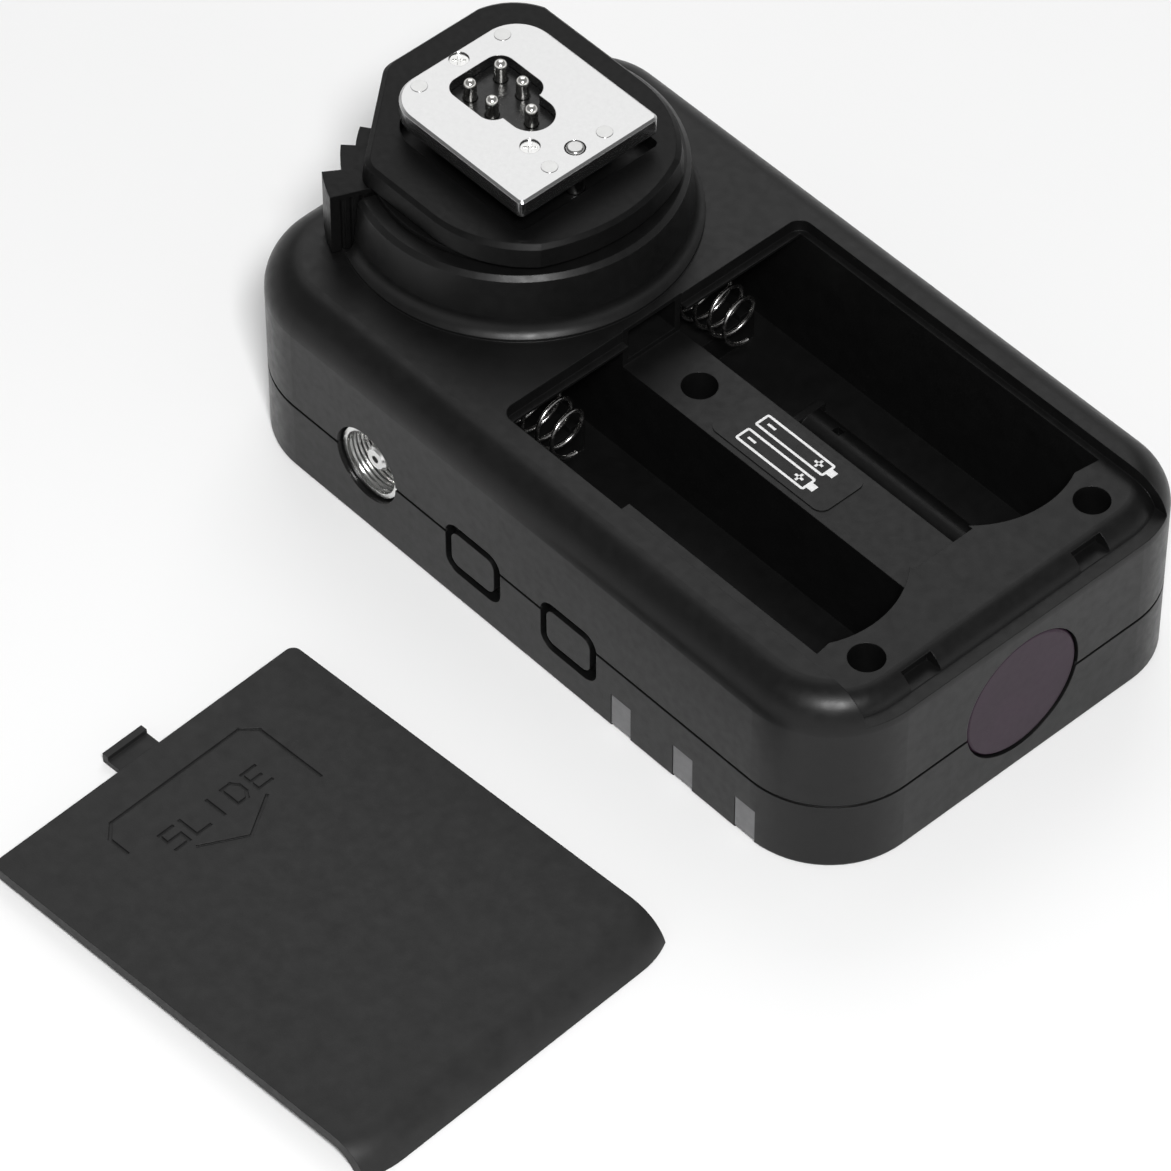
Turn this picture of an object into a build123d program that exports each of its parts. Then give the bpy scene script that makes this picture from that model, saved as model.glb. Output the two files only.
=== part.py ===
from build123d import *
import math
import os

# Wireless flash trigger, lying with its camera foot up and its battery cover taken off beside it.
# Frame: origin on the face that the case rests on, midway along the case and on the centreline of
# the foot, the cells and the lamp. +X towards the focus lamp, +Z up towards the camera foot,
# the buttons on the -Y side. Millimetres.

# ---- driving dimensions -------------------------------------------------------------------
CASE_L, CASE_H = 89.5, 23.1
END_X = CASE_L / 2
SIDE_Y, FAR_Y = 26.5, 25.3
# corner radii at the foot end and at the lamp end, on the button side and on the far side
NEAR_R, FAR_R = (11.0, 10.6), (9.2, 9.2)
SEAM_Z = 8.93
TOP_ROUND, BOTTOM_ROUND = 4.0, 0.4
WALL = 1.8
SEAM_BEVEL = 0.2

# battery compartment for two AA cells (14.5 x 50.5), side by side along X
COVER_T = 1.35
SEAT_Z = CASE_H - 1.45
RIM_X, RIM_Y, RIM_R = -8.72, 20.44, 1.5
LIP_Z = 19.93
BAY_Y = (3.9, 19.7)
BAY_X = (-18.0, 35.0)
BAY_Z = 5.8
BAY_MID = (BAY_Y[0] + BAY_Y[1]) / 2
RIDGE_Y, RIDGE_Z, RIDGE_R = 13.2, 4.9, 2.0
CELL_Z = 14.1
SPRING_L, SPRING_R, SPRING_WIRE = 9.8, (3.5, 2.4), 0.45
SPRING_SHELF = (-11.6, 9.3)
TUB_WALL = 1.2
RIB_Z = 17.92
NEAR_LEDGE = (8.0, 18.5, 20.6)
SCALLOP_R, SCALLOP_X, SCALLOP_Z = 11.5, 24.0, 19.9
HOOK_Y, HOOK_W = (-12.1, 10.9), 4.0
SCREW_AT = [(-1.7, 0.0, RIB_Z), (38.19, 15.3, SEAT_Z), (38.19, -15.3, SEAT_Z)]
WELL_R, SCREW_HEAD_Z, BOSS_Z = 1.9, 9.0, 4.6

# turret, lock lever and foot
TURRET_X = -28.5
DRUM_R, DRUM_TOP_R, DRUM_Z = 17.8, 17.3, 30.5
FLARE_R, FLARE_Z = 18.8, (23.45, 25.4)
LEVER_Z = (30.65, 31.35)
LEVER_STEPS = [(215.0, 224.5, 16.6), (224.5, 236.0, 18.1), (236.0, 247.0, 20.1)]
BLOCK_Z = (31.5, 34.0)
BLOCK_X = (-45.4, -12.4)
BLOCK_Y, NEAR_CUT_R = 14.7, 2.5
MOAT_Z = 32.2
FOOT_X = (-38.8, -17.85)
FOOT_W = 18.6
FOOT_Z = (35.8, 37.8)
NECK_W = 12.3
INSERT_Z = (33.6, 36.5)
CENTRE_PIN = (-26.7, 0.0)
DATA_PINS = [(-33.6, 2.05), (-33.6, -2.05), (-30.3, 2.05), (-30.3, -2.05)]
LOCK_PIN = (-20.2, 0.0)
RIVETS = [(-37.3, 5.6), (-37.3, -5.6), (-19.9, 3.7), (-19.9, -3.7)]
FOOT_SCREWS = [(-37.6, 0.0), (-23.4, -3.15)]
PIN_TIP_Z, PIN_R = 39.0, 0.7
PIN_COLLAR_Z, COLLAR_R = 35.58, 1.0

# side controls and windows
BUTTON_X = (-6.3, 7.9)
BUTTON_Z = 7.35
BUTTON_HOLE = (8.2, 6.8)
BUTTON_FACE = (6.35, 4.6)
WINDOW_X = (15.6, 24.55, 33.45)
WINDOW_W, WINDOW_H = 2.85, 4.75
GUIDE_LIFT = 0.5
PC_X, PC_HOLE_R = -22.47, 4.47
PC_FACE_Y = -SIDE_Y + 0.6
PC_BORE_R, PC_DEPTH = 3.7, 3.6
LAMP_Z, LAMP_R = 10.28, 7.64
SWITCH_X, SWITCH_Z = -6.0, 5.4

# hot shoe in the resting face
SHOE_X = (-45.5, -23.6)
SHOE_W, SHOE_MOUTH = 19.0, 12.8
SHOE_Z = (1.1, 3.5)
RAIL_Y = 10.2
SHOE_CONTACTS = [(-33.0, 0.0)] + [(-36.3 + 6.6 * i, 2.9 * j) for i in (0, 1) for j in (-1, 1)]
PCB_Z = (2.6, 3.6)

# cover lying beside the case
COVER_YAW = 2.8
COVER_AT = (-12.8, -64.0)


# ---- helpers ------------------------------------------------------------------------------
def block(x0, x1, y0, y1, z0, z1):
    """Box between two corners."""
    return Pos((x0 + x1) / 2, (y0 + y1) / 2, (z0 + z1) / 2) * Box(x1 - x0, y1 - y0, z1 - z0)


def rod(x, y, z0, z1, r):
    """Upright cylinder."""
    return Pos(x, y, (z0 + z1) / 2) * Cylinder(r, z1 - z0)


def rod_x(x0, x1, y, z, r):
    """Cylinder along X."""
    return Pos((x0 + x1) / 2, y, z) * Rot(0, 90, 0) * Cylinder(r, x1 - x0)


def rod_y(x, y0, y1, z, r):
    """Cylinder along Y."""
    return Pos(x, (y0 + y1) / 2, z) * Rot(90, 0, 0) * Cylinder(r, y1 - y0)


def tablet(length, width, z0, z1, r, x=0.0, y=0.0):
    """Upright slab with rounded corners."""
    return Pos(x, y, z0) * extrude(RectangleRounded(length, width, r), z1 - z0)


def pad_y(x, z, width, height, r, y0, y1):
    """Slab with rounded corners that faces along Y."""
    sheet = Pos(x, y1, z) * Rot(90, 0, 0) * RectangleRounded(width, height, r)
    return extrude(sheet, y1 - y0)


def sector(a0, a1, r, z0, z1):
    """Wedge about the turret axis, angles in degrees."""
    pie = [(0, 0)]
    for k in range(5):
        a = math.radians(a0 + (a1 - a0) * k / 4)
        pie.append((2 * r * math.cos(a), 2 * r * math.sin(a)))
    wedge = extrude(make_face(Polyline(*pie, close=True)), z1 - z0)
    return Pos(TURRET_X, 0, z0) * (wedge & (Pos(0, 0, (z1 - z0) / 2) * Cylinder(r, z1 - z0)))


def case_plan(inset, z0, z1):
    """Slab with the plan of the case, which is rounder and further out on the button side."""
    slab = block(-END_X + inset, END_X - inset, -SIDE_Y + inset, FAR_Y - inset, z0, z1)
    for side, radii in ((0, NEAR_R), (-1, FAR_R)):
        for end, radius in ((0, radii[0]), (-1, radii[1])):
            corners = slab.edges().filter_by(Axis.Z).group_by(Axis.Y)[side]
            slab = fillet(corners.sort_by(Axis.X)[end], radius - inset)
    return slab


def case_form(inset=0.0, top=CASE_H):
    """Outer form of the closed case, or the same form set inwards."""
    body = case_plan(inset, inset, top)
    upper = body.edges().group_by(Axis.Z)[-1]
    body = fillet(upper, TOP_ROUND - inset)
    if inset == 0:
        body = fillet(body.edges().group_by(Axis.Z)[0], BOTTOM_ROUND)
    return body


def fused(first, *others):
    """One solid out of overlapping ones."""
    for other in others:
        first = first + other
    return first


CASE = case_form()
CAVITY = case_form(WALL, CASE_H - WALL)
PLAN = case_plan(0, 0, 60)
WINDOW_CUT = [block(x - WINDOW_W / 2, x + WINDOW_W / 2, -SIDE_Y - 1, -SIDE_Y + 2.6, -1, WINDOW_H)
              for x in WINDOW_X]


def shared_openings():
    """Holes that the two halves of the case make together."""
    cuts = [rod_y(PC_X, -SIDE_Y - 1, -SIDE_Y + 4, SEAM_Z, PC_HOLE_R)]
    cuts += [pad_y(x, BUTTON_Z, *BUTTON_HOLE, 1.8, -SIDE_Y - 1, -SIDE_Y + 3) for x in BUTTON_X]
    cuts += [block(x - 5.0, x + 5.0, -SIDE_Y + 1.25, -22, 2.9, 11.8) for x in BUTTON_X]
    cuts.append(rod_x(END_X - 3, END_X + 1, 0, LAMP_Z, LAMP_R))
    return cuts


# ---- case ---------------------------------------------------------------------------------
def drum():
    """Round turret below the foot, cut back where the lever swings."""
    with BuildPart() as turned:
        with BuildSketch(Plane.XZ):
            with BuildLine():
                Polyline((0, 15), (FLARE_R, 15), (FLARE_R, FLARE_Z[0]))
                fill = ThreePointArc((FLARE_R, FLARE_Z[0]), (DRUM_R + 0.27, FLARE_Z[0] + 0.75),
                                     (DRUM_R, FLARE_Z[1]))
                Polyline(fill @ 1, (DRUM_TOP_R, DRUM_Z - 0.5), (DRUM_TOP_R - 0.5, DRUM_Z),
                         (0, DRUM_Z), (0, 15))
            make_face()
        revolve(axis=Axis.Z)
    turret = (Pos(TURRET_X, 0, 0) * turned.part) & PLAN
    swing = sector(182.0, 248.0, 30, CASE_H + 0.3, DRUM_Z + 1)
    swing -= rod(TURRET_X, 0, CASE_H, DRUM_Z + 2, 14.4)
    return turret - swing


def scallop_corner(side):
    """Wedge where the round end of a bay runs out towards the side wall."""
    mid, wall = side * BAY_MID, side * BAY_Y[1]
    corner = [(SCALLOP_X, mid), (SCALLOP_X + 10.4, mid + side * 4.9), (SCALLOP_X + 10.8, wall),
              (SCALLOP_X, wall)]
    return Pos(0, 0, SCALLOP_Z - 1) * extrude(make_face(Polyline(*corner, close=True)), 5)


def bay(side):
    """Hollow for one cell: open above, its lamp end scalloped at the ledge."""
    lo, hi = sorted((side * BAY_Y[0], side * BAY_Y[1]))
    mid = side * BAY_MID
    under_top = block(BAY_X[0], BAY_X[1], lo, hi, BAY_Z, CASE_H - WALL)
    under_top -= block(30, 40, lo, hi, SCALLOP_Z, CASE_H)
    round_end = rod(SCALLOP_X, mid, SCALLOP_Z - 1, CASE_H, SCALLOP_R)
    round_end += scallop_corner(side)
    round_end &= block(20, 40, lo, hi, SCALLOP_Z - 1, CASE_H)
    mouth = block(RIM_X + 0.8, 26, lo, hi, SEAT_Z - 2, CASE_H)
    hollow = fused(under_top, round_end, mouth)
    if side < 0:
        x, y, z = NEAR_LEDGE
        hollow -= block(x, 40, lo - 1, -y, z, CASE_H)
    # low ridge along the floor that carries the cell, with two small holes and a stop at one end
    ridge = rod_x(1.0, 25.5, side * RIDGE_Y, RIDGE_Z, RIDGE_R)
    ridge += block(0.2, 1.1, side * RIDGE_Y - 2.0, side * RIDGE_Y + 2.0, BAY_Z - 1, BAY_Z + 1.1)
    for x in (4.8, 24.3):
        y = side * (RIDGE_Y + 0.3)
        ridge -= block(x - 0.5, x + 0.5, y - 0.5, y + 0.5, BAY_Z - 0.5, BAY_Z + 2)
    # shelf below the spring, with a stop on its far side
    x, z = SPRING_SHELF
    shelf = block(BAY_X[0] + 0.5, x, mid - 4.2, mid + 4.2, BAY_Z - 1, z)
    shelf += block(x - 1.4, x, mid + 3.2, mid + 5.2, BAY_Z - 1, z + 0.7)
    return hollow - ridge - shelf


def battery_side_shell():
    shell = (CASE - CAVITY) & block(-60, 60, -40, 40, SEAM_Z, 40)
    tub = block(BAY_X[0] - TUB_WALL, 36.4, -BAY_Y[1] - TUB_WALL, BAY_Y[1] + TUB_WALL,
                BAY_Z - TUB_WALL, CASE_H - 1)
    ledge = block(30, 42.8, -BAY_Y[1] - TUB_WALL, BAY_Y[1] + TUB_WALL, 18.6, CASE_H - 0.5)
    shell = fused(shell, tub, ledge & CASE, drum())
    shell -= rod(TURRET_X, 0, 10, DRUM_Z - 2, 13.4) - block(-20.2, 0, -20, 20, 0, CASE_H)
    shell -= rod(TURRET_X, 0, 20, 40, 5.2)
    # seat of the cover: a recess that follows the outer form, open at the lamp end
    seat = tablet(2 * (60 - RIM_X), 2 * RIM_Y, LIP_Z, 40, RIM_R, x=60) - case_form(COVER_T, SEAT_Z)
    shell -= seat
    shell -= block(RIM_X - 0.1, 33, -BAY_Y[0] - 0.1, BAY_Y[0] + 0.1, RIB_Z, 40)
    for side in (-1, 1):
        shell -= bay(side)
    for y in HOOK_Y:
        shell -= block(41.2, 50, y - HOOK_W / 2, y + HOOK_W / 2, LIP_Z + 0.1, 21.5)
    # catch pocket for the tab of the cover, and the light hollow of the centre rib
    shell -= block(-12.5, RIM_X + 1, -3.2, 3.2, 18.6, TAB_Z + 1.35)
    shell -= block(3.0, 31.0, -2.6, 2.6, 0, RIB_Z - 1.6)
    for x, y, top in SCREW_AT:
        shell += rod(x, y, BOSS_Z, top - 0.5, WELL_R + 1.0)
        shell -= rod(x, y, SCREW_HEAD_Z, 30, WELL_R)
        shell -= rod(x, y, BOSS_Z - 1, 12, 1.15)
    for cut in shared_openings():
        shell -= cut
    shell -= block(-27.8, -17.2, -26, -12.6, SEAM_Z - 6, SEAM_Z + 6) & CAVITY
    return chamfer_seam(shell, SEAM_Z, 1)


def chamfer_seam(shell, z, way):
    """Bevel the outer edge at the parting line, so that the halves meet in a fine groove."""
    groove = case_plan(-1.0, z - SEAM_BEVEL, z + SEAM_BEVEL)
    core = case_plan(SEAM_BEVEL, z - 1, z + 1)
    ring = groove - core
    keep = block(-60, 60, -40, 40, z, z + 2) if way > 0 else block(-60, 60, -40, 40, z - 2, z)
    return shell - (ring & keep)


def shoe_side_shell():
    shell = (CASE - CAVITY) & block(-60, 60, -40, 40, 0, SEAM_Z)
    # walls round the hot shoe, which is let into the resting face
    shell += block(-43.6, SHOE_X[1] + 3.0, -RAIL_Y - 2.2, RAIL_Y + 2.2, 0.6, 7.2) & CASE
    shell -= block(-50, SHOE_X[1] + 1.4, -RAIL_Y, RAIL_Y, -1, 5.2)
    for x, y, _ in SCREW_AT:
        shell += rod(x, y, 1.0, BOSS_Z - 0.05, 2.3)
        shell -= rod(x, y, 2.4, 12, 1.0)
    for cut in shared_openings() + WINDOW_CUT:
        shell -= cut
    shell -= block(SWITCH_X - 4.2, SWITCH_X + 4.2, FAR_Y - 3, FAR_Y + 1, SWITCH_Z - 1.65, SWITCH_Z + 1.65)
    return chamfer_seam(shell, SEAM_Z, -1)


def case_screws():
    screws = []
    for x, y, _ in SCREW_AT:
        head = rod(x, y, SCREW_HEAD_Z, SCREW_HEAD_Z + 1.5, 1.75)
        head = fillet(head.edges().group_by(Axis.Z)[-1], 0.5)
        body = head + rod(x, y, 2.6, SCREW_HEAD_Z + 0.1, 1.0)
        for turn in (0, 90):
            body -= Pos(x, y, SCREW_HEAD_Z + 1.3) * Rot(0, 0, turn) * Box(2.0, 0.45, 1.0)
        screws.append(body)
    return screws


# ---- battery side -------------------------------------------------------------------------
def coil(x, y, z0, height, r0, r1, wire, turns):
    """Spring of round wire along +Z, as one swept helix."""
    cone = math.degrees(math.atan2(r0 - r1, height)) if r0 != r1 else 0
    path = Helix(pitch=height / turns, height=height, radius=r0, cone_angle=-cone)
    section = Plane(origin=path @ 0, z_dir=path % 0) * Circle(wire / 2)
    return Pos(x, y, z0) * sweep(section, path=path, is_frenet=True)


def battery_spring(side):
    spring = coil(0, 0, 0, SPRING_L, *SPRING_R, SPRING_WIRE, 5)
    base_x = BAY_X[0] + 0.4 + SPRING_WIRE / 2 + 0.05
    return Pos(base_x, side * BAY_MID, CELL_Z) * Rot(0, 90, 0) * spring


def minus_plate(side):
    plate = block(BAY_X[0], BAY_X[0] + 0.4, side * BAY_MID - 5.5, side * BAY_MID + 5.5, 8.2, 19.8)
    tail = block(BAY_X[0], BAY_X[0] + 0.4, side * BAY_MID - 1.2, side * BAY_MID + 1.2, BAY_Z, 8.3)
    return plate + tail


def plus_plate(side):
    x = BAY_X[1]
    plate = block(x - 0.4, x, side * BAY_MID - 4.2, side * BAY_MID + 4.2, 8.6, 19.6)
    tail = block(x - 0.4, x, side * BAY_MID - 1.2, side * BAY_MID + 1.2, BAY_Z, 8.7)
    bump = rod_x(x - 0.8, x - 0.3, side * BAY_MID, CELL_Z, 2.4)
    return fused(plate, tail, bump)


def rating_label():
    return tablet(16.4, 6.4, RIB_Z, RIB_Z + 0.12, 1.2, x=11.1)


# ---- cover --------------------------------------------------------------------------------
COVER_Y, COVER_X0, COVER_Z0 = 20.15, RIM_X + 0.3, 20.15
TAB_Z = 21.2
LETTER_H, STROKE = 2.5, 0.36


def groove_line(x0, y0, x1, y1, depth=0.22):
    """Straight engraved stroke in the outer face of the closed cover."""
    run = math.hypot(x1 - x0, y1 - y0)
    turn = math.degrees(math.atan2(y1 - y0, x1 - x0))
    bar = Box(run + STROKE, STROKE, 2 * depth)
    return Pos((x0 + x1) / 2, (y0 + y1) / 2, CASE_H) * Rot(0, 0, turn) * bar


# each letter as strokes in a cell one unit wide and one unit high
LETTERS = {
    "S": [(1, 1, 0, 1), (0, 1, 0, 0.5), (0, 0.5, 1, 0.5), (1, 0.5, 1, 0), (1, 0, 0, 0)],
    "L": [(0, 1, 0, 0), (0, 0, 1, 0)],
    "I": [(0.5, 0, 0.5, 1)],
    "D": [(0, 0, 0, 1), (0, 1, 0.7, 1), (0.7, 1, 1, 0.7), (1, 0.7, 1, 0.3),
          (1, 0.3, 0.7, 0), (0.7, 0, 0, 0)],
    "E": [(1, 1, 0, 1), (0, 1, 0, 0), (0, 0, 1, 0), (0, 0.5, 0.8, 0.5)],
}


def engraving():
    """Word, arrow and bracket beside the tab. The word reads across the cover."""
    strokes = []
    pitch, wide, top_x = 2.75, 1.75, 9.0
    word = "SLIDE"
    for place, letter in enumerate(word):
        y_left = -(len(word) * pitch) / 2 + place * pitch + (pitch - wide) / 2
        for u0, v0, u1, v1 in LETTERS[letter]:
            ends = [(COVER_X0 + top_x + (1 - v) * LETTER_H, y_left + u * wide)
                    for u, v in ((u0, v0), (u1, v1))]
            strokes.append(groove_line(*ends[0], *ends[1]))
    tip = COVER_X0 + 15.4
    strokes += [groove_line(tip, 0, tip - 2.7, side * 4.6) for side in (-1, 1)]
    x0, x1, half = COVER_X0 + 4.4, COVER_X0 + 14.6, 10.0
    strokes.append(groove_line(x0, -half + 1.5, x0, half - 1.5))
    strokes += [groove_line(x0, side * (half - 1.5), x0 + 1.5, side * half) for side in (-1, 1)]
    strokes.append(groove_line(x0 + 1.5, half, x1, half))
    strokes.append(groove_line(x0 + 1.5, -half, x0 + 4.0, -half))
    return strokes


def closed_cover():
    """Cover in its closed place, flush with the case."""
    stock = tablet(2 * (60 - COVER_X0), 2 * COVER_Y, COVER_Z0, 40, 1.0, x=60)
    cover = (CASE & stock) - case_form(COVER_T - 0.05, SEAT_Z + 0.1)
    for y in HOOK_Y:
        cover += block(41.4, END_X - 1.0, y - 1.7, y + 1.7, COVER_Z0, 21.2) & CASE
    arm = block(COVER_X0 - 3.4, COVER_X0 + 1.5, -2.6, 2.6, TAB_Z, TAB_Z + 0.7)
    catch = block(COVER_X0 - 3.4, COVER_X0 - 2.6, -2.6, 2.6, TAB_Z, TAB_Z + 1.25)
    cover = fused(cover, arm, catch)
    for stroke in engraving():
        cover -= stroke
    return cover


def battery_cover():
    """Cover lying on the table: its tab end and the edge of its lip touch the surface."""
    cover = Pos(-COVER_X0, 0, -COVER_Z0) * closed_cover()
    tilt = math.degrees(math.atan2(TAB_Z - COVER_Z0, END_X - COVER_X0 + 3.4))
    lying = Rot(0, 0, COVER_YAW) * Rot(0, -tilt, 0) * cover
    low = lying.bounding_box().min.Z
    return Pos(COVER_AT[0], COVER_AT[1], -low) * lying


# ---- foot ---------------------------------------------------------------------------------
def foot_outline(inset=0.0):
    """Plan of the block below the foot: round at the front, its rear corners cut unequally."""
    x0, x1, y = BLOCK_X[0] + inset, BLOCK_X[1] - inset, BLOCK_Y - inset
    near_cut, far_cut = (9.4, 11.0), (4.4, 5.2)
    with BuildSketch() as plan:
        with BuildLine():
            ThreePointArc((x0, y - far_cut[1]), (x0 + 1.4, y - 2.2), (x0 + far_cut[0], y))
            Line((x0 + far_cut[0], y), (x1 - 12.6, y))
            ThreePointArc((x1 - 12.6, y), (x1 - 6.2, y - 1.75), (x1 - 2.3, y - 5.1))
            ThreePointArc((x1 - 2.3, y - 5.1), (x1, 0), (x1 - 2.3, -y + 5.1))
            ThreePointArc((x1 - 2.3, -y + 5.1), (x1 - 6.2, -y + 1.75), (x1 - 12.6, -y))
            Polyline((x1 - 12.6, -y), (x0 + near_cut[0], -y), (x0, -y + near_cut[1]),
                     (x0, y - far_cut[1]))
        make_face()
        near = plan.vertices().filter_by(lambda v: v.X < x0 + near_cut[0] + 0.1 and v.Y < 0)
        fillet(near, NEAR_CUT_R)
    return plan.sketch


def foot_plan(z0, z1, inset=0.0, front_r=0.7, rear_r=4.2):
    """Slab with the plan of the foot plate."""
    x0, x1, half = FOOT_X[0] + inset, FOOT_X[1] - inset, FOOT_W / 2 - inset
    slab = block(x0, x1, -half, half, z0, z1)
    upright = slab.edges().filter_by(Axis.Z)
    slab = fillet(upright.group_by(Axis.X)[0], rear_r)
    return fillet(slab.edges().filter_by(Axis.Z).group_by(Axis.X)[-1], front_r)


def contact_well(z0, z1, grow=0.0):
    """Opening round the five contacts: a rounded field with a lobe for the centre pin."""
    field = tablet(7.4 + 2 * grow, 7.8 + 2 * grow, z0, z1, 1.7 + grow, x=-31.95)
    lobe = rod(*CENTRE_PIN, z0, z1, 2.4 + grow)
    link = block(-29.6, CENTRE_PIN[0], -2.4 - grow, 2.4 + grow, z0, z1)
    return fused(field, link, lobe)


def foot_block():
    z0, z1 = BLOCK_Z
    draft, shoulder = 0.2, 0.4
    sections = [(z0, 0.0), (z1 - shoulder, draft), (z1, draft + shoulder)]
    low, middle, high = (Pos(0, 0, z) * foot_outline(inset) for z, inset in sections)
    body = loft([low, middle]) + loft([middle, high])
    body -= foot_plan(MOAT_Z, z1 + 1)
    body += foot_plan(MOAT_Z - 0.1, FOOT_Z[0], inset=(FOOT_W - NECK_W) / 2, rear_r=2.0)
    body += rod(TURRET_X, 0, DRUM_Z, z0 + 0.1, 6.3)
    body -= rod(TURRET_X, 0, DRUM_Z - 1, z0 + 1, 4.6)
    body -= contact_well(INSERT_Z[0] - 0.5, 40, 0.05)
    body -= rod(*LOCK_PIN, 30, 40, 1.1)
    for x, y in FOOT_SCREWS:
        body -= rod(x, y, z1, 37, 0.6)
    return body


def foot_plate():
    plate = foot_plan(*FOOT_Z)
    plate = chamfer(plate.faces().sort_by(Axis.Z)[-1].edges(), 0.25)
    plate -= contact_well(34, 40, 0.05)
    plate -= rod(*LOCK_PIN, 30, 40, 1.1)
    for x, y in RIVETS:
        plate -= rod(x, y, FOOT_Z[0], 40, 0.85)
    for x, y in FOOT_SCREWS:
        plate -= rod(x, y, FOOT_Z[0] - 1, FOOT_Z[1], 0.65)
        plate -= rod(x, y, FOOT_Z[1] - 1.0, 40, 1.05)
    return plate


def contact_insulator():
    insert = contact_well(*INSERT_Z)
    for x, y in DATA_PINS + [CENTRE_PIN]:
        insert -= rod(x, y, 32, 40, PIN_R + 0.08)
        insert -= rod(x, y, 32, PIN_COLLAR_Z + 0.42, COLLAR_R + 0.1)
    return insert


def contact_board():
    return contact_well(INSERT_Z[0] - 0.5, INSERT_Z[0], -0.1)


def contact_pin(x, y):
    stem = rod(x, y, PIN_COLLAR_Z + 0.1, PIN_TIP_Z, PIN_R)
    stem = fillet(stem.edges().group_by(Axis.Z)[-1], PIN_R - 0.05)
    return stem + rod(x, y, PIN_COLLAR_Z, PIN_COLLAR_Z + 0.39, COLLAR_R)


def contact_spring(x, y):
    height = PIN_COLLAR_Z - INSERT_Z[0] - 0.2
    return coil(x, y, INSERT_Z[0] + 0.1, height, 0.7, 0.7, 0.16, 4)


def locking_pin():
    pin = rod(*LOCK_PIN, BLOCK_Z[0] - 0.05, FOOT_Z[1] + 0.2, 1.0)
    return fillet(pin.edges().group_by(Axis.Z)[-1], 0.35)


def foot_rivets():
    return [rod(x, y, FOOT_Z[0], FOOT_Z[1] + 0.05, 0.85) for x, y in RIVETS]


def foot_plate_screws():
    screws = []
    for x, y in FOOT_SCREWS:
        top = FOOT_Z[1] - 0.2
        body = rod(x, y, top - 0.75, top, 1.0) + rod(x, y, BLOCK_Z[1] + 0.1, top - 0.7, 0.58)
        for turn in (45, 135):
            body -= Pos(x, y, top) * Rot(0, 0, turn) * Box(1.4, 0.3, 0.5)
        screws.append(body)
    return screws


def foot_lock_lever():
    lever = rod(TURRET_X, 0, *LEVER_Z, 15.4) - rod(TURRET_X, 0, 30, 33, 6.4)
    for a0, a1, r in LEVER_STEPS:
        step = sector(a0, a1, r, CASE_H + 0.5, LEVER_Z[1])
        lever += step - rod(TURRET_X, 0, 20, 35, 14.7)
    lever += sector(218, 244, 15.6, LEVER_Z[0], LEVER_Z[1]) - rod(TURRET_X, 0, 20, 35, 12)
    end = math.radians(LEVER_STEPS[-1][1])
    for r in (15.8, 16.8, 17.8, 18.8):
        at = (TURRET_X + r * math.cos(end), r * math.sin(end))
        lever -= rod(*at, 20, LEVER_Z[1] - 0.7, 0.24)
    return lever


# ---- side controls, sockets and windows ---------------------------------------------------
def side_button(x):
    face = pad_y(x, BUTTON_Z + 0.1, *BUTTON_FACE, 1.1, -SIDE_Y - 0.02, -SIDE_Y + 1.6)
    flange = pad_y(x, BUTTON_Z, BUTTON_HOLE[0] + 1.0, BUTTON_HOLE[1] + 1.0, 1.5, -SIDE_Y + 1.35,
                   -SIDE_Y + 2.0)
    stem = rod_y(x, -SIDE_Y + 1.9, -23.8, BUTTON_Z, 1.2)
    return fused(face, flange, stem)


def tact_switch(x):
    body = block(x - 3, x + 3, -22.9, -21.0, PCB_Z[1], 10.3)
    return body + rod_y(x, -23.1, -22.8, BUTTON_Z, 1.4)


def pc_socket_shell():
    sleeve = rod_y(PC_X, PC_FACE_Y, PC_FACE_Y + 4.4, SEAM_Z, 4.2)
    sleeve += rod_y(PC_X, PC_FACE_Y + 4.3, PC_FACE_Y + 9.4, SEAM_Z, 3.15)
    sleeve -= rod_y(PC_X, PC_FACE_Y - 1, PC_FACE_Y + PC_DEPTH, SEAM_Z, PC_BORE_R)
    sleeve -= rod_y(PC_X, PC_FACE_Y - 1, PC_FACE_Y + 10, SEAM_Z, 2.6)
    for turn in range(6):
        y = PC_FACE_Y + 0.45 + 0.5 * turn
        sleeve -= rod_y(PC_X, y, y + 0.25, SEAM_Z, PC_BORE_R + 0.25)
    return sleeve


def pc_socket_insulator():
    plug = rod_y(PC_X, PC_FACE_Y + PC_DEPTH - 0.3, PC_FACE_Y + 9.4, SEAM_Z, 2.55)
    return plug - rod_y(PC_X, PC_FACE_Y, PC_FACE_Y + 10, SEAM_Z, 1.45)


def pc_socket_contact():
    tube = rod_y(PC_X, PC_FACE_Y + 0.6, PC_FACE_Y + 9.6, SEAM_Z, 1.4)
    tube = chamfer(tube.edges().group_by(Axis.Y)[0], 0.25)
    return tube - rod_y(PC_X, PC_FACE_Y, PC_FACE_Y + 5.0, SEAM_Z, 0.45)


def light_guides():
    guides = []
    for x in WINDOW_X:
        guides.append(block(x - WINDOW_W / 2 + 0.03, x + WINDOW_W / 2 - 0.03, -SIDE_Y + 0.05,
                            -SIDE_Y + 2.5, GUIDE_LIFT, WINDOW_H - 0.03))
    return guides


def status_leds():
    return [block(x - 0.8, x + 0.8, -23.4, -21.8, PCB_Z[1], PCB_Z[1] + 0.8) for x in WINDOW_X]


def focus_lamp_window():
    lens = rod_x(END_X - 2.0, END_X - 0.15, 0, LAMP_Z, LAMP_R - 0.14)
    return fillet(lens.edges().group_by(Axis.X)[-1], 0.4)


def focus_lamp():
    die = rod_x(38.4, 41.6, 0, LAMP_Z, 2.5)
    return die + rod_x(37.6, 38.5, 0, LAMP_Z, 3.1)


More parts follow.
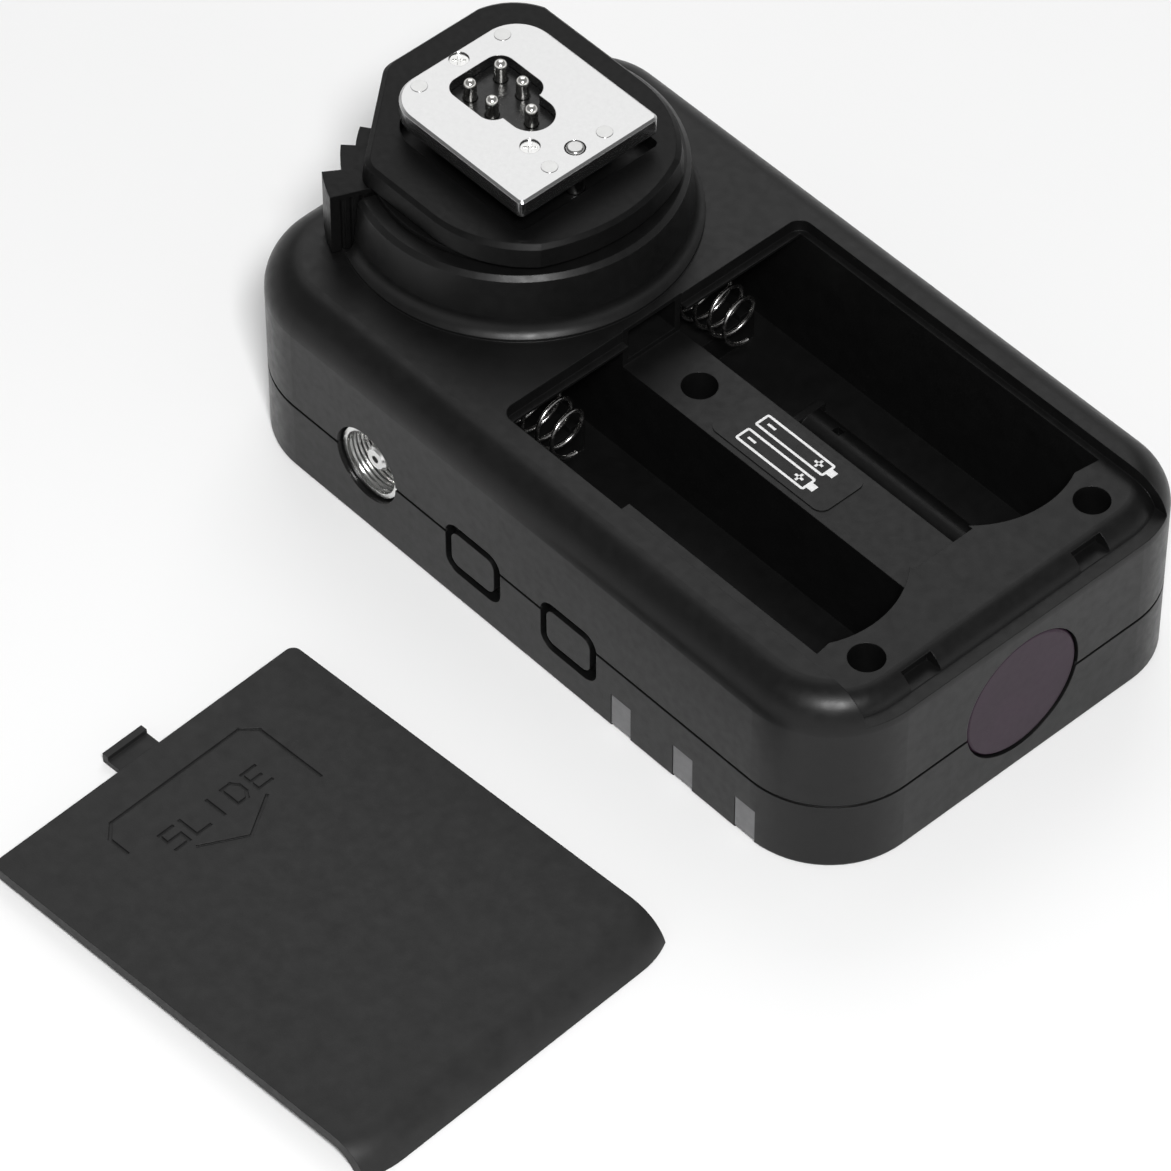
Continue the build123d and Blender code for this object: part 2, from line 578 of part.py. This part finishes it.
def lamp_holder():
    ring = rod_x(37.6, 40.0, 0, LAMP_Z, 4.4) - rod_x(37, 41, 0, LAMP_Z, 3.15)
    foot = block(37.6, 40.0, -2.4, 2.4, PCB_Z[1], LAMP_Z - 3.6)
    return ring + foot


# ---- electronics --------------------------------------------------------------------------
def main_board():
    board = block(-16.8, 41.6, -23.6, 22.9, *PCB_Z)
    for x, y, _ in SCREW_AT:
        board -= rod(x, y, 2, 5, 2.5)
    for corner in (-1, 1):
        board -= block(36.5, 44, corner * 19.0 - 5.5, corner * 19.0 + 5.5, 2, 5)
    for x in WINDOW_X:
        board -= block(x - 1.8, x + 1.8, -24, -23.6 + 0.05, 2, 5)
    return board


def radio_module():
    return block(16.0, 30.0, 6.0, 20.0, PCB_Z[1], PCB_Z[1] + 0.9)


def controller_chip():
    return block(4.0, 14.0, -15.0, -5.0, PCB_Z[1], PCB_Z[1] + 0.9)


def antenna():
    foot = block(31.5, 33.1, 21.1, 22.6, PCB_Z[1], PCB_Z[1] + 1.0)
    return foot + rod_x(8.0, 33.0, 21.85, PCB_Z[1] + 1.6, 0.7)


def trigger_board():
    return block(-41.5, -21.4, -13.0, 13.0, 10.4, 11.4)


def power_switch_body():
    x0, x1 = SWITCH_X - 5.2, SWITCH_X + 5.2
    body = block(x0, x1, 21.0, FAR_Y - 2.4, PCB_Z[1], 7.3)
    return body - block(x0 + 1.2, x1 - 1.2, FAR_Y - 3.6, FAR_Y, SWITCH_Z - 0.9, SWITCH_Z + 0.9)


def power_switch_knob():
    y = FAR_Y - 2.1
    knob = block(SWITCH_X - 3.9, SWITCH_X + 0.1, y, FAR_Y + 0.5, SWITCH_Z - 1.5, SWITCH_Z + 1.5)
    knob = fillet(knob.edges().filter_by(Axis.Y), 0.4)
    flange = block(SWITCH_X - 4.9, SWITCH_X + 1.1, y - 0.2, y + 0.2, SWITCH_Z - 1.75, SWITCH_Z + 1.75)
    stem = block(SWITCH_X - 2.7, SWITCH_X - 1.1, y - 1.2, y - 0.1, SWITCH_Z - 0.6, SWITCH_Z + 0.6)
    return fused(knob, flange, stem)


# ---- hot shoe -----------------------------------------------------------------------------
def shoe_base():
    x0, x1 = -END_X + BOTTOM_ROUND, SHOE_X[1] + 1.3
    base = block(x0, x1, -RAIL_Y + 0.05, RAIL_Y - 0.05, SHOE_Z[1] + 0.4, 5.15)
    for x, y in SHOE_CONTACTS:
        base -= rod(x, y, 3, 6, 0.9)
    sides = block(x0, x1, -RAIL_Y + 0.05, RAIL_Y - 0.05, SHOE_Z[0], SHOE_Z[1] + 0.5)
    sides -= block(x0 - 1, SHOE_X[1], -SHOE_W / 2, SHOE_W / 2, 0, 6)
    return base + sides


def shoe_rails():
    x0, x1 = -END_X + BOTTOM_ROUND, SHOE_X[1] + 1.3
    top = block(x0, x1, -RAIL_Y + 0.05, RAIL_Y - 0.05, 0.05, SHOE_Z[0])
    top -= block(x0 - 1, SHOE_X[1] - 0.6, -SHOE_MOUTH / 2, SHOE_MOUTH / 2, -1, 3)
    return top


def shoe_spring_plate():
    plate = block(-END_X + 1.5, SHOE_X[1] - 0.4, -SHOE_W / 2 + 0.4, SHOE_W / 2 - 0.4,
                  SHOE_Z[1] + 0.05, SHOE_Z[1] + 0.4)
    plate -= block(-38, -27.5, -4.4, 4.4, 0, 6)
    return plate


def shoe_contacts():
    return [rod(x, y, SHOE_Z[1], 5.15, 0.9) for x, y in SHOE_CONTACTS]


# ---- assembly -----------------------------------------------------------------------------
def parts():
    nodes = {
        "battery_side_shell": battery_side_shell(),
        "shoe_side_shell": shoe_side_shell(),
        "case_screws": case_screws(),
        "battery_cover": battery_cover(),
        "rating_label": rating_label(),
        "foot_block": foot_block(),
        "foot_plate": foot_plate(),
        "foot_rivets": foot_rivets(),
        "foot_plate_screws": foot_plate_screws(),
        "foot_lock_lever": foot_lock_lever(),
        "locking_pin": locking_pin(),
        "contact_insulator": contact_insulator(),
        "contact_board": contact_board(),
        "contact_pin_centre": contact_pin(*CENTRE_PIN),
        "contact_spring_centre": contact_spring(*CENTRE_PIN),
        "pc_socket_shell": pc_socket_shell(),
        "pc_socket_insulator": pc_socket_insulator(),
        "pc_socket_contact": pc_socket_contact(),
        "light_guides": light_guides(),
        "status_leds": status_leds(),
        "focus_lamp_window": focus_lamp_window(),
        "focus_lamp": focus_lamp(),
        "lamp_holder": lamp_holder(),
        "main_board": main_board(),
        "radio_module": radio_module(),
        "controller_chip": controller_chip(),
        "antenna": antenna(),
        "trigger_board": trigger_board(),
        "power_switch_body": power_switch_body(),
        "power_switch_knob": power_switch_knob(),
        "shoe_base": shoe_base(),
        "shoe_rails": shoe_rails(),
        "shoe_spring_plate": shoe_spring_plate(),
        "shoe_contacts": shoe_contacts(),
    }
    for number, (x, y) in enumerate(DATA_PINS, start=1):
        nodes[f"contact_pin_{number}"] = contact_pin(x, y)
        nodes[f"contact_spring_{number}"] = contact_spring(x, y)
    for name, x in zip(("group", "channel"), BUTTON_X):
        nodes[f"{name}_button"] = side_button(x)
        nodes[f"{name}_switch"] = tact_switch(x)
    for name, side in (("near", -1), ("far", 1)):
        nodes[f"battery_spring_{name}"] = battery_spring(side)
        nodes[f"minus_plate_{name}"] = minus_plate(side)
        nodes[f"plus_plate_{name}"] = plus_plate(side)
    return nodes


def main():
    os.makedirs("parts", exist_ok=True)
    for name, shape in parts().items():
        if isinstance(shape, list):
            shape = Compound(children=shape)
        shape.label = name
        export_step(shape, f"parts/{name}.step")


main()
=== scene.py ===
"""Looks of the wireless flash trigger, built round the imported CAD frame. Metres, +Z up."""

import math

import bmesh
import bpy
from mathutils import Matrix, Vector


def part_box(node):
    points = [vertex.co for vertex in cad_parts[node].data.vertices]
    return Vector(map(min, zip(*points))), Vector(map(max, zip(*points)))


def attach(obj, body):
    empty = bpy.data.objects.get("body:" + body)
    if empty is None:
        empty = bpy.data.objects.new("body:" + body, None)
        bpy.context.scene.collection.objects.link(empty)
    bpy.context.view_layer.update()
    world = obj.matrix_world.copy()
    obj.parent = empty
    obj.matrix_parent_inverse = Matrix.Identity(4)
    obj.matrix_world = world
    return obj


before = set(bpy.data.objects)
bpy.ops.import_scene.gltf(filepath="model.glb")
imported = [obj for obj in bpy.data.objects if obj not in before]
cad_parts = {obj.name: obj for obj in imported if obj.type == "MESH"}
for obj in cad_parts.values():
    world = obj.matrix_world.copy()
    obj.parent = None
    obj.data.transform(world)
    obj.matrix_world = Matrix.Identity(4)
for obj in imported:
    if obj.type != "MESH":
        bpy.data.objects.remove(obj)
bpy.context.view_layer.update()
MM = 0.001

# camera: a long lens that looks down on the foot and the open battery compartment
CAMERA_AZIMUTH, CAMERA_ELEVATION, CAMERA_ROLL = 47.78, 47.71, -0.08
CAMERA_DISTANCE = 684 * MM
CAMERA_AIM = Vector((-1.45, -15.7, 0.0)) * MM
LENS_MM, SENSOR_MM = 208.0, 36.0

# floor and light; the world's brightness is a ramp over the height of the direction
FLOOR_WHITE, FLOOR_HALF, FLOOR_DROP = 0.88, 3.0, 0.02 * MM
HORIZON_LIGHT, ZENITH_LIGHT = 0.90, 0.22
HORIZON_END, ZENITH_START = 0.10, 0.45


# ---- camera, floor and light --------------------------------------------------------------
def away_from(azimuth, elevation):
    """Unit vector from the object towards a viewer at that azimuth and elevation."""
    a, e = math.radians(azimuth), math.radians(elevation)
    return Vector((math.sin(a) * math.cos(e), -math.cos(a) * math.cos(e), math.sin(e)))


def facing(back, roll=0.0):
    """Rotation of a camera or light whose back points along that vector."""
    turn = back.to_track_quat("Z", "Y").to_matrix().to_4x4()
    return turn @ Matrix.Rotation(math.radians(roll), 4, "Z")


def make_camera():
    """Long lens, aimed between the case and its cover."""
    lens = bpy.data.cameras.new("camera")
    lens.lens, lens.sensor_width = LENS_MM, SENSOR_MM
    lens.clip_start, lens.clip_end = 10 * MM, 20.0
    camera = bpy.data.objects.new("camera", lens)
    back = away_from(CAMERA_AZIMUTH, CAMERA_ELEVATION)
    place = Matrix.Translation(CAMERA_AIM + back * CAMERA_DISTANCE)
    camera.matrix_world = place @ facing(back, CAMERA_ROLL)
    bpy.context.scene.collection.objects.link(camera)
    bpy.context.scene.camera = camera


def softbox(name, azimuth, elevation, distance, width, height, power):
    """Rectangular soft light that faces the object."""
    light = bpy.data.lights.new(name, "AREA")
    light.shape, light.size, light.size_y = "RECTANGLE", width, height
    light.energy = power
    lamp = bpy.data.objects.new(name, light)
    back = away_from(azimuth, elevation)
    lamp.matrix_world = Matrix.Translation(back * distance) @ facing(back)
    bpy.context.scene.collection.objects.link(lamp)


def make_world():
    """White studio walls that turn darker overhead."""
    world = bpy.data.worlds.new("studio")
    bpy.context.scene.world = world
    world.use_nodes = True
    tree = world.node_tree
    place = tree.nodes.new("ShaderNodeTexCoord")
    split = tree.nodes.new("ShaderNodeSeparateXYZ")
    ramp = tree.nodes.new("ShaderNodeValToRGB")
    ramp.color_ramp.elements[0].position = HORIZON_END
    ramp.color_ramp.elements[0].color = (*[HORIZON_LIGHT] * 3, 1)
    ramp.color_ramp.elements[1].position = ZENITH_START
    ramp.color_ramp.elements[1].color = (*[ZENITH_LIGHT] * 3, 1)
    tree.links.new(place.outputs["Generated"], split.inputs[0])
    tree.links.new(split.outputs["Z"], ramp.inputs["Fac"])
    tree.links.new(ramp.outputs["Color"], tree.nodes["Background"].inputs["Color"])


def make_stage():
    """Large sheet of white paper under the object."""
    mesh = bpy.data.meshes.new("floor")
    form = bmesh.new()
    bmesh.ops.create_grid(form, x_segments=1, y_segments=1, size=FLOOR_HALF)
    form.to_mesh(mesh)
    form.free()
    floor = bpy.data.objects.new("floor", mesh)
    bpy.context.scene.collection.objects.link(floor)
    floor.location.z = -FLOOR_DROP
    paper = Recipe("floor_paper", (FLOOR_WHITE,) * 3, 0.9)
    paper.tint(paper.noise(9.0, 3), 0.985, 1.0)
    mesh.materials.append(paper.material)


def make_lights():
    """Key light beside the camera, two weak side lights, and the card that the foot mirrors.

    Each row: name, azimuth, elevation, distance, width, height in metres, power in watts.
    """
    softbox("key_box", 52, 52, 0.90, 0.17, 0.14, 7.4)
    softbox("front_box", 8, 12, 0.80, 0.60, 0.16, 0.15)
    softbox("right_box", 98, 14, 0.80, 0.40, 0.16, 0.15)
    softbox("plate_card", 228, 48, 0.60, 0.40, 0.40, 0.74)


# ---- materials ----------------------------------------------------------------------------
class Recipe:
    """A Principled material, built up from a base colour and a roughness."""

    def __init__(self, name, colour, roughness, metallic=0.0, specular=0.5):
        self.material = bpy.data.materials.new(name)
        self.material.use_nodes = True
        self.tree = self.material.node_tree
        self.shader = self.tree.nodes["Principled BSDF"]
        self.shader.inputs["Base Color"].default_value = (*colour, 1)
        self.shader.inputs["Roughness"].default_value = roughness
        self.shader.inputs["Metallic"].default_value = metallic
        self.shader.inputs["Specular IOR Level"].default_value = specular
        self.colour, self.rough = colour, roughness
        self.place = self.tree.nodes.new("ShaderNodeTexCoord").outputs["Object"]
        self.normal = None

    def link(self, source, node, socket):
        self.tree.links.new(source, node.inputs[socket])

    def stretched(self, stretch):
        """Object coordinates scaled along each axis."""
        node = self.tree.nodes.new("ShaderNodeMapping")
        node.inputs["Scale"].default_value = stretch
        self.link(self.place, node, "Vector")
        return node.outputs["Vector"]

    def noise(self, scale, detail=2.0, stretch=None):
        """Fractal noise; scale is in features per metre."""
        node = self.tree.nodes.new("ShaderNodeTexNoise")
        node.inputs["Scale"].default_value = scale
        node.inputs["Detail"].default_value = detail
        self.link(self.stretched(stretch) if stretch else self.place, node, "Vector")
        return node.outputs["Fac"]

    def between(self, source, low, high, start=0.3, stop=0.7):
        """Source moved from start..stop to low..high."""
        node = self.tree.nodes.new("ShaderNodeMapRange")
        sockets = {"From Min": start, "From Max": stop, "To Min": low, "To Max": high}
        for socket, value in sockets.items():
            node.inputs[socket].default_value = value
        self.link(source, node, "Value")
        return node.outputs["Result"]

    def tint(self, source, low, high, start=0.3, stop=0.7, other=None):
        """Base colour that runs from low to high times itself, or towards another colour."""
        node = self.tree.nodes.new("ShaderNodeMix")
        node.data_type = "RGBA"
        last = other or tuple(c * high for c in self.colour)
        node.inputs["A"].default_value = (*(c * low for c in self.colour), 1)
        node.inputs["B"].default_value = (*last, 1)
        self.link(self.between(source, 0.0, 1.0, start, stop), node, "Factor")
        self.link(node.outputs["Result"], self.shader, "Base Color")

    def vary_roughness(self, source, spread, start=0.3, stop=0.7):
        low, high = self.rough - spread, self.rough + spread
        self.link(self.between(source, low, high, start, stop), self.shader, "Roughness")

    def soften(self, radius_mm):
        """Edges that catch the light as if rounded to that radius."""
        node = self.tree.nodes.new("ShaderNodeBevel")
        node.samples = 4
        node.inputs["Radius"].default_value = radius_mm * MM
        self.normal = node.outputs["Normal"]
        self.link(self.normal, self.shader, "Normal")

    def relief(self, source, depth_mm, strength=1.0):
        """Bump of that depth, on top of what is there already."""
        node = self.tree.nodes.new("ShaderNodeBump")
        node.inputs["Distance"].default_value = depth_mm * MM
        node.inputs["Strength"].default_value = strength
        self.link(source, node, "Height")
        if self.normal:
            self.link(self.normal, node, "Normal")
        self.normal = node.outputs["Normal"]
        self.link(self.normal, self.shader, "Normal")


def moulded(name, grey, roughness, specular, grain=6500.0, grain_mm=0.006):
    """Spark-textured moulded plastic: fine grain over a faintly wavy skin."""
    look = Recipe(name, (grey,) * 3, roughness, 0.0, specular)
    fine = look.noise(grain, 3.0)
    look.tint(look.noise(420.0, 5.0), 0.86, 1.16)
    look.vary_roughness(look.noise(900.0, 3.0), 0.05)
    look.soften(0.12)
    look.relief(look.noise(70.0, 1.0), 0.008, 0.5)
    look.relief(fine, grain_mm)
    return look.material


def satin(name, grey, roughness, specular):
    """Smooth moulded plastic with a satin skin."""
    look = Recipe(name, (grey,) * 3, roughness, 0.0, specular)
    look.tint(look.noise(180.0, 3.0), 0.85, 1.2)
    look.vary_roughness(look.noise(1500.0, 4.0), 0.06)
    look.soften(0.15)
    look.relief(look.noise(3800.0, 2.0), 0.0035)
    return look.material


def plated(name, colour, roughness, speck=5200.0, depth_mm=0.002, spread=0.05):
    """Plated metal with a fine speckle and slight stains."""
    look = Recipe(name, colour, roughness, 1.0)
    look.tint(look.noise(330.0, 5.0), 0.9, 1.0)
    look.vary_roughness(look.noise(speck / 4, 3.0), spread)
    look.soften(0.05)
    look.relief(look.noise(speck, 2.0), depth_mm)
    return look.material


def foot_metal():
    """Smooth nickel-plated sheet."""
    look = Recipe("foot_metal", (0.50, 0.50, 0.50), 0.20, 1.0)
    look.tint(look.noise(2600.0, 2.0), 0.98, 1.0)
    look.vary_roughness(look.noise(1400.0, 3.0), 0.02)
    look.soften(0.08)
    look.relief(look.noise(2600.0, 2.0), 0.0003, 0.6)
    return look.material


def turned_metal():
    """Polished nickel, its gloss streaked across the socket's axis by the turning tool."""
    look = Recipe("contact_metal_turned", (0.84, 0.84, 0.83), 0.24, 1.0)
    look.tint(look.noise(420.0, 3.0), 0.88, 1.0)
    look.vary_roughness(look.noise(900.0, 2.0, stretch=(0.25, 9.0, 0.25)), 0.05)
    look.soften(0.04)
    look.relief(look.noise(4000.0, 2.0), 0.0008)
    return look.material


def wire_steel():
    """Bright drawn wire."""
    look = Recipe("spring_steel", (0.62, 0.61, 0.60), 0.24, 1.0)
    look.tint(look.noise(700.0, 4.0), 0.8, 1.0)
    look.vary_roughness(look.noise(2500.0, 2.0), 0.07)
    look.relief(look.noise(4200.0, 2.0), 0.003)
    return look.material


def circuit_board():
    """Green solder mask over copper traces."""
    look = Recipe("board_green", (0.010, 0.075, 0.028), 0.35)
    traces = look.noise(240.0, 0.0, stretch=(0.35, 1.6, 1.0))
    look.tint(traces, 0.75, 1.7, 0.47, 0.53)
    look.vary_roughness(look.noise(1900.0, 2.0), 0.05)
    look.relief(look.between(traces, 0.0, 1.0, 0.47, 0.53), 0.02)
    return look.material


def lamp_filter():
    """Deep plum filter of the focus lamp."""
    look = Recipe("lamp_red", (0.022, 0.0105, 0.020), 0.34, 0.0, 0.13)
    look.tint(look.noise(150.0, 3.0), 0.88, 1.12)
    look.vary_roughness(look.noise(1100.0, 3.0), 0.04)
    look.shader.inputs["Coat Weight"].default_value = 0.03
    look.shader.inputs["Coat Roughness"].default_value = 0.10
    look.soften(0.1)
    look.relief(look.noise(2400.0, 2.0), 0.0015)
    return look.material


def light_guide():
    """Milky grey window."""
    look = Recipe("guide_clear", (0.112, 0.112, 0.115), 0.36)
    look.tint(look.noise(900.0, 3.0), 0.9, 1.12)
    look.vary_roughness(look.noise(1700.0, 2.0), 0.05)
    look.shader.inputs["Subsurface Weight"].default_value = 0.3
    look.shader.inputs["Subsurface Radius"].default_value = (0.6 * MM, 0.6 * MM, 0.6 * MM)
    look.shader.inputs["Subsurface Scale"].default_value = 1.0
    look.soften(0.08)
    look.relief(look.noise(3000.0, 2.0), 0.002)
    return look.material


def lamp_dome():
    """Clear-red epoxy of the focus lamp's diode."""
    look = Recipe("lamp_epoxy", (0.35, 0.02, 0.02), 0.1)
    look.tint(look.noise(400.0, 2.0), 0.85, 1.1)
    look.vary_roughness(look.noise(900.0, 2.0), 0.04)
    return look.material


def diode_resin():
    """Yellowish resin of the surface-mounted diodes."""
    look = Recipe("led_clear", (0.60, 0.55, 0.30), 0.25)
    look.tint(look.noise(1200.0, 2.0), 0.85, 1.1)
    look.vary_roughness(look.noise(2200.0, 2.0), 0.05)
    return look.material


def printed_label():
    """Slightly lighter film with a faint orange-peel skin."""
    look = Recipe("label_film", (0.0085,) * 3, 0.36, 0.0, 0.22)
    look.tint(look.noise(500.0, 3.0), 0.85, 1.2)
    look.vary_roughness(look.noise(1300.0, 3.0), 0.05)
    look.relief(look.noise(2600.0, 2.0), 0.003)
    return look.material


def white_ink():
    """Screen-printed white, slightly uneven."""
    look = Recipe("label_ink", (0.80,) * 3, 0.5, 0.0, 0.3)
    look.tint(look.noise(2600.0, 3.0), 0.82, 1.05)
    look.vary_roughness(look.noise(1900.0, 2.0), 0.06)
    return look.material


def dress_nodes():
    """A material for every CAD node."""
    case = moulded("case_plastic", 0.0044, 0.38, 0.25)
    bright = plated("contact_metal", (0.84, 0.83, 0.80), 0.18)
    finishes = [
        (case, "battery_side_shell shoe_side_shell group_button channel_button power_switch_knob"),
        (moulded("cover_plastic", 0.0165, 0.50, 0.26, 5200.0, 0.008), "battery_cover"),
        (satin("foot_plastic", 0.0032, 0.40, 0.14), "foot_block foot_lock_lever"),
        (foot_metal(), "foot_plate"),
        (plated("rivet_metal", (0.51, 0.51, 0.505), 0.23, depth_mm=0.0006, spread=0.03),
         "foot_rivets locking_pin"),
        (plated("screw_steel", (0.62, 0.62, 0.61), 0.26), "foot_plate_screws case_screws"),
        (bright, "contact_pin_centre contact_pin_1 contact_pin_2 contact_pin_3 contact_pin_4"
                 " minus_plate_near minus_plate_far plus_plate_near plus_plate_far shoe_contacts"),
        (turned_metal(), "pc_socket_shell pc_socket_contact"),
        (wire_steel(), "battery_spring_near battery_spring_far contact_spring_centre"
                       " contact_spring_1 contact_spring_2 contact_spring_3 contact_spring_4"),
        (plated("shoe_steel", (0.70, 0.70, 0.69), 0.3, 3600.0, 0.004),
         "shoe_rails shoe_spring_plate"),
        (satin("insulator_plastic", 0.0045, 0.28, 0.35),
         "contact_insulator pc_socket_insulator shoe_base"),
        (satin("chip_black", 0.012, 0.45, 0.4),
         "controller_chip power_switch_body group_switch channel_switch lamp_holder"),
        (circuit_board(), "main_board trigger_board contact_board"),
        (plated("shield_metal", (0.75, 0.75, 0.74), 0.35), "radio_module"),
        (plated("antenna_copper", (0.80, 0.42, 0.25), 0.3), "antenna"),
        (lamp_filter(), "focus_lamp_window"),
        (lamp_dome(), "focus_lamp"),
        (light_guide(), "light_guides"),
        (diode_resin(), "status_leds"),
        (printed_label(), "rating_label"),
    ]
    for material, names in finishes:
        for name in names.split():
            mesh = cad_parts[name].data
            mesh.materials.clear()
            mesh.materials.append(material)


# ---- print on the label -------------------------------------------------------------------
INK = 0.02 * MM
LINE = 0.28 * MM
CELL_Y, CELL_HALF, CELL_R = 1.35 * MM, 1.0 * MM, 0.3 * MM
CELL_MARGINS = (3.0 * MM, 3.6 * MM)
NUB_L, NUB_W = 0.8 * MM, 0.9 * MM
SIGN, SIGN_IN = 1.1 * MM, 1.5 * MM


class Ink:
    """Flat strokes of ink on one level, gathered into one mesh."""

    def __init__(self, level):
        self.form = bmesh.new()
        self.level = level

    def sheet(self, outline):
        """Thin slab with that outline, its points in order."""
        lower = [self.form.verts.new((x, y, self.level)) for x, y in outline]
        upper = [self.form.verts.new((x, y, self.level + INK)) for x, y in outline]
        self.form.faces.new(upper)
        self.form.faces.new(lower[::-1])
        for i, (a, b) in enumerate(zip(lower, lower[1:] + lower[:1])):
            self.form.faces.new((a, b, upper[(i + 1) % len(upper)], upper[i]))

    def bar(self, x, y, length, width):
        """Rectangle round that centre."""
        x0, x1, y0, y1 = x - length / 2, x + length / 2, y - width / 2, y + width / 2
        self.sheet([(x0, y0), (x1, y0), (x1, y1), (x0, y1)])

    def frame(self, corners, width):
        """Closed line through those corners, given anticlockwise."""
        count = len(corners)
        inner = []
        for i, corner in enumerate(corners):
            before, after = Vector(corners[i - 1]), Vector(corners[(i + 1) % count])
            here = Vector(corner)
            a, b = (here - before).normalized(), (after - here).normalized()
            normal = Vector((-(a + b).y, (a + b).x)).normalized()
            inner.append(here + normal * width / max(0.3, normal.dot(Vector((-a.y, a.x)))))
        for i in range(count):
            j = (i + 1) % count
            self.sheet([corners[i], corners[j], tuple(inner[j]), tuple(inner[i])])

    def finish(self, name, material):
        """The strokes as one new piece."""
        bmesh.ops.remove_doubles(self.form, verts=self.form.verts, dist=0.001 * MM)
        bmesh.ops.recalc_face_normals(self.form, faces=self.form.faces)
        mesh = bpy.data.meshes.new(name)
        self.form.to_mesh(mesh)
        self.form.free()
        mesh.materials.append(material)
        piece = bpy.data.objects.new(name, mesh)
        bpy.context.scene.collection.objects.link(piece)
        return piece


def rounded(x0, y0, x1, y1, r, steps=6):
    """Corners of a rounded rectangle, anticlockwise."""
    points = []
    centres = [(x1 - r, y0 + r, -90), (x1 - r, y1 - r, 0),
               (x0 + r, y1 - r, 90), (x0 + r, y0 + r, 180)]
    for cx, cy, start in centres:
        for k in range(steps + 1):
            a = math.radians(start + 90 * k / steps)
            points.append((cx + r * math.cos(a), cy + r * math.sin(a)))
    return points


def make_label_print():
    """Two cells as outlines, with their plus and minus ends."""
    low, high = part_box("rating_label")
    ink = Ink(high.z)
    x0, x1 = low.x + CELL_MARGINS[0], high.x - CELL_MARGINS[1]
    for side in (-1, 1):
        y = (low.y + high.y) / 2 + side * CELL_Y
        ink.frame(rounded(x0, y - CELL_HALF, x1, y + CELL_HALF, CELL_R), LINE)
        ink.bar(x1 + NUB_L / 2, y, NUB_L, NUB_W)
        ink.bar(x1 - SIGN_IN, y, SIGN, LINE)
        ink.bar(x1 - SIGN_IN, y, LINE, SIGN)
        ink.bar(x0 + SIGN_IN, y, SIGN, LINE)
    piece = ink.finish("label_print", white_ink())
    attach(piece, "case")


def main():
    make_camera()
    make_world()
    make_stage()
    make_lights()
    dress_nodes()
    make_label_print()
    bpy.context.scene.view_settings.view_transform = "Standard"


main()
